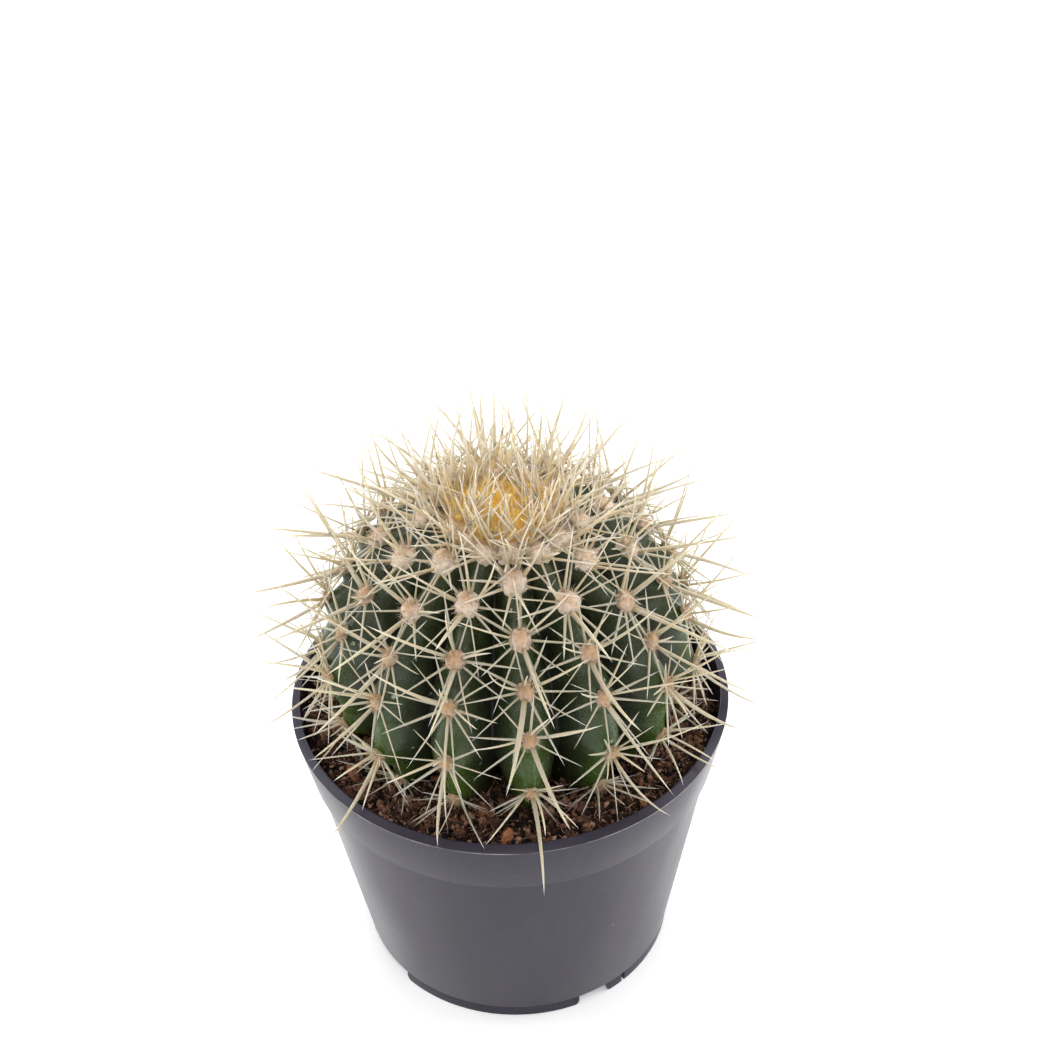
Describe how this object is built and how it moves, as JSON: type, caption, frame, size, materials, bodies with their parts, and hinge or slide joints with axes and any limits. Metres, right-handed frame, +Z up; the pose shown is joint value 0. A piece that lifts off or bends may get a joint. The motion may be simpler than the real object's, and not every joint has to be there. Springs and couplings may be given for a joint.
{
  "type": "potted round cactus",
  "caption": "Round ribbed cactus with woolly areoles and long pale spines, planted in soil in a tapered plastic nursery pot.",
  "frame": {"origin": "under the middle of the pot, on the surface that its feet stand on", "axes": "+Z up along the pot's axis, -Y towards the front of the pot that the picture shows, +X to the right"},
  "size_m": [0.1425, 0.1435, 0.1819],
  "materials": {
    "pot_plastic": "satin anthracite moulded plastic",
    "soil_mix": "loose brown peat and coir crumbs with bark chips",
    "cactus_skin": "waxy deep green living skin",
    "crown_wool": "golden plant wool",
    "areole_felt": "pinkish beige plant felt",
    "spine": "smooth ivory horn-like spines"
  },
  "bodies": {
    "root": {"pot": "pot_plastic", "soil": "soil_mix", "cactus": "cactus_skin", "crown": "crown_wool"}
  },
  "joints": []
}
